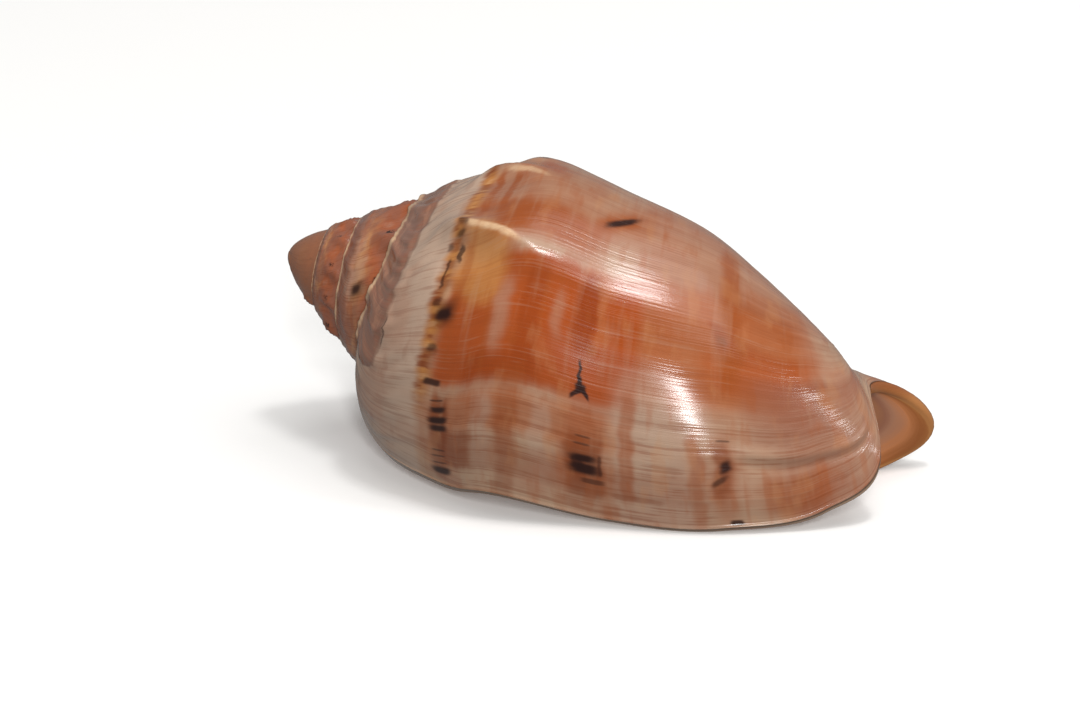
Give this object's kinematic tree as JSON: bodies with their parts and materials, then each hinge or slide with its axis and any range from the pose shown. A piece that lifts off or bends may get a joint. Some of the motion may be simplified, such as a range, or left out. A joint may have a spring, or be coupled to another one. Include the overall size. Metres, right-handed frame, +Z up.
{
  "type": "volute shell",
  "caption": "Whole volute sea shell resting mouth down, with a blunt-tipped spire, a knobbed shoulder, a long open mouth, oblique pillar folds and a notched front tip.",
  "frame": {"origin": "centre of the bounding box in X and Y, at the plane the shell rests on", "axes": "+X from the apex towards the front tip, whose long axis dips 13 degrees to the front; -Y towards the outer lip; +Z up from the resting plane"},
  "size_m": [0.0848, 0.0462, 0.0376],
  "materials": {
    "polished_shell": "naturally polished shell, orange and cream outside, apricot enamel in the mouth"
  },
  "bodies": {
    "root": {"shell": "polished_shell"}
  },
  "joints": []
}
